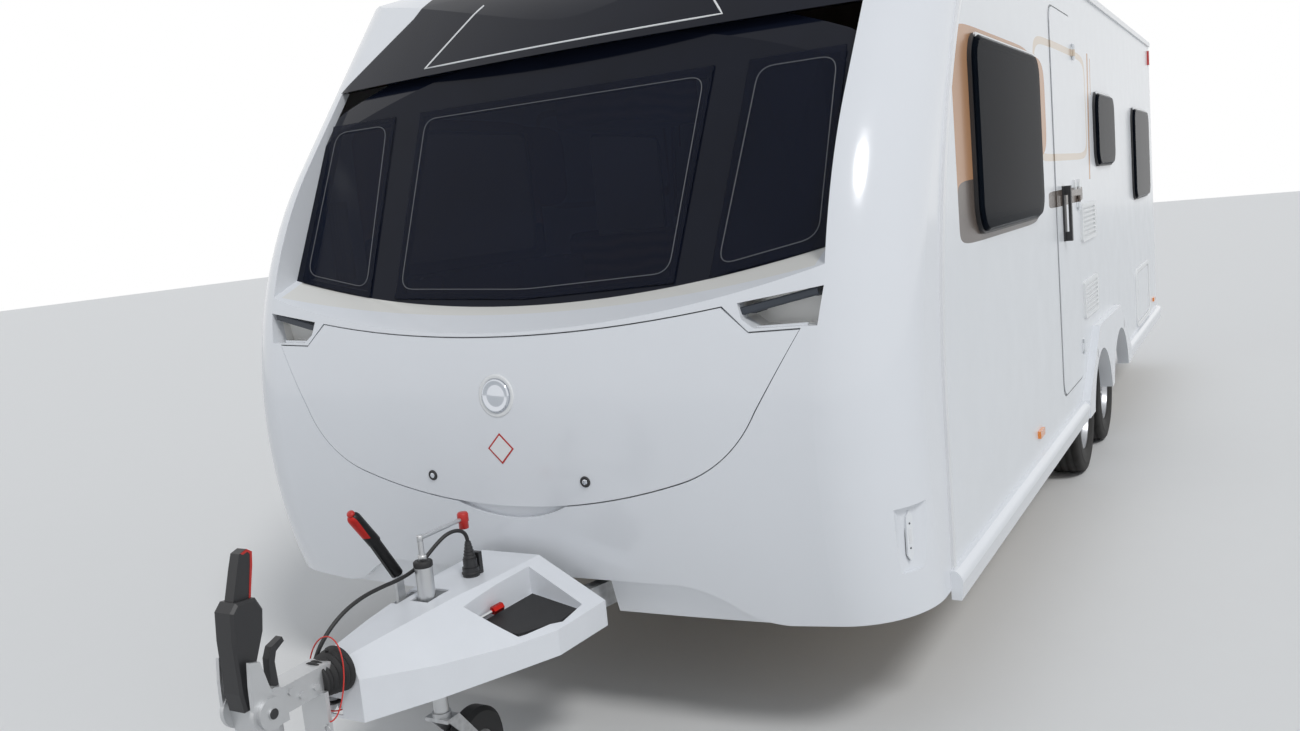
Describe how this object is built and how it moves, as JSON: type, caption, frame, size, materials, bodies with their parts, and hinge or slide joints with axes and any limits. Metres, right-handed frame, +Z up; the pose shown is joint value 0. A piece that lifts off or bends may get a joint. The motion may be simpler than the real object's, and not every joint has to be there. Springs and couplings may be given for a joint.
{
  "type": "twin-axle travel caravan",
  "caption": "Travel caravan with a bowed front moulding, gas locker lid, entrance door, A-frame drawbar, jockey wheel and corner steadies.",
  "frame": {"origin": "on the ground, in the middle of the overall length and width", "axes": "+X towards the nearside with the entrance door, +Y towards the rear, +Z up"},
  "size_m": [2.453, 7.9, 2.61],
  "materials": {
    "white_panel": "gloss white skin of a sandwich panel",
    "white_moulding": "gloss white moulding",
    "grey_moulding": "pale grey moulding",
    "white_plastic": "satin white plastic",
    "dark_gloss": "gloss black",
    "tinted_acrylic": "dark tinted acrylic",
    "black_plastic": "matt black",
    "black_rubber": "matt black rubber",
    "black_cable": "black cable sheath",
    "red_cord": "red coated wire rope",
    "galvanised_steel": "hot-dip galvanised",
    "cast_silver": "silver cast head",
    "satin_aluminium": "satin extrusion",
    "alloy_wheel": "silver lacquered alloy",
    "tyre": "black road tyre",
    "lamp_lens": "amber and red lenses",
    "plywood": "plywood floor panel",
    "cabinet_wood": "mid-brown cabinets",
    "seat_cloth": "woven upholstery",
    "curtain_cloth": "light curtain cloth"
  },
  "bodies": {
    "caravan": {"awning_rails": "satin_aluminium", "axles": "galvanised_steel", "breakaway_cable": "red_cord", "cable": "black_cable", "chassis": "galvanised_steel", "coupling": "cast_silver", "curtains": "curtain_cloth", "drawbar": "galvanised_steel", "drawbar_cover": "grey_moulding", "floor": "plywood", "front_cap": "dark_gloss", "front_panel": "white_moulding", "front_window_panes": "tinted_acrylic", "front_window_surround": "dark_gloss", "furniture": "cabinet_wood", "gaiter": "black_rubber", "gas_locker": "black_plastic", "grab_handles": "black_plastic", "handbrake": "galvanised_steel", "jockey_stand": "galvanised_steel", "lamps": "lamp_lens", "plug": "black_plastic", "rear_bumper": "white_moulding", "rear_panel": "white_moulding", "roof": "white_panel", "rooflights": "tinted_acrylic", "seat_cushions": "seat_cloth", "skirts": "white_moulding", "stabiliser_lever": "black_plastic", "step_pads": "black_rubber", "vents": "white_plastic", "wall_nearside": "white_panel", "wall_offside": "white_panel", "wheel_spats": "white_moulding", "window_frames": "black_plastic", "window_panes": "tinted_acrylic"},
    "door": {"door": "white_panel", "door_handle": "black_plastic"},
    "locker_lid": {"locker_lid": "white_moulding"},
    "service_hatch": {"service_hatch": "white_panel"},
    "jockey_fork": {"jockey_fork": "galvanised_steel"},
    "jockey_wheel": {"jockey_wheel": "black_rubber"},
    "wheel_front_nearside": {"tyre_front_nearside": "tyre", "rim_front_nearside": "alloy_wheel"},
    "steady_front_nearside": {"steady_front_nearside": "galvanised_steel"},
    "wheel_front_offside": {"tyre_front_offside": "tyre", "rim_front_offside": "alloy_wheel"},
    "steady_front_offside": {"steady_front_offside": "galvanised_steel"},
    "wheel_rear_nearside": {"tyre_rear_nearside": "tyre", "rim_rear_nearside": "alloy_wheel"},
    "steady_rear_nearside": {"steady_rear_nearside": "galvanised_steel"},
    "wheel_rear_offside": {"tyre_rear_offside": "tyre", "rim_rear_offside": "alloy_wheel"},
    "steady_rear_offside": {"steady_rear_offside": "galvanised_steel"}
  },
  "joints": [
    {"name": "door_hinge", "type": "hinge", "parent": "caravan", "child": "door", "pos_m": [1.201, 0.107, 1.4], "axis": [0, 0, 1], "range_deg": [0, 165]},
    {"name": "lid_hinge", "type": "hinge", "parent": "caravan", "child": "locker_lid", "pos_m": [0, -2.85, 1.33], "axis": [-1, 0, 0], "range_deg": [0, 75]},
    {"name": "hatch_hinge", "type": "hinge", "parent": "caravan", "child": "service_hatch", "pos_m": [1.1955, 2.835, 0.842], "axis": [0, -1, 0], "range_deg": [0, 100]},
    {"name": "spin_front_nearside", "type": "hinge", "parent": "caravan", "child": "wheel_front_nearside", "pos_m": [1.042, 0.53, 0.303], "axis": [1, 0, 0], "continuous": true},
    {"name": "spin_front_offside", "type": "hinge", "parent": "caravan", "child": "wheel_front_offside", "pos_m": [-1.042, 0.53, 0.303], "axis": [1, 0, 0], "continuous": true},
    {"name": "spin_rear_nearside", "type": "hinge", "parent": "caravan", "child": "wheel_rear_nearside", "pos_m": [1.042, 1.28, 0.303], "axis": [1, 0, 0], "continuous": true},
    {"name": "spin_rear_offside", "type": "hinge", "parent": "caravan", "child": "wheel_rear_offside", "pos_m": [-1.042, 1.28, 0.303], "axis": [1, 0, 0], "continuous": true},
    {"name": "steady_hinge_front_nearside", "type": "hinge", "parent": "caravan", "child": "steady_front_nearside", "pos_m": [0.7, -2.175, 0.413], "axis": [-1, 0, 0], "range_deg": [0, 60]},
    {"name": "steady_hinge_front_offside", "type": "hinge", "parent": "caravan", "child": "steady_front_offside", "pos_m": [-0.7, -2.175, 0.413], "axis": [-1, 0, 0], "range_deg": [0, 60]},
    {"name": "steady_hinge_rear_nearside", "type": "hinge", "parent": "caravan", "child": "steady_rear_nearside", "pos_m": [0.7, 3.275, 0.413], "axis": [1, 0, 0], "range_deg": [0, 60]},
    {"name": "steady_hinge_rear_offside", "type": "hinge", "parent": "caravan", "child": "steady_rear_offside", "pos_m": [-0.7, 3.275, 0.413], "axis": [1, 0, 0], "range_deg": [0, 60]},
    {"name": "jockey_swivel", "type": "hinge", "parent": "caravan", "child": "jockey_fork", "pos_m": [0, -3.296, 0.262], "axis": [0, 0, 1], "continuous": true},
    {"name": "jockey_spin", "type": "hinge", "parent": "jockey_fork", "child": "jockey_wheel", "pos_m": [0, -3.176, 0.108], "axis": [1, 0, 0], "continuous": true}
  ]
}
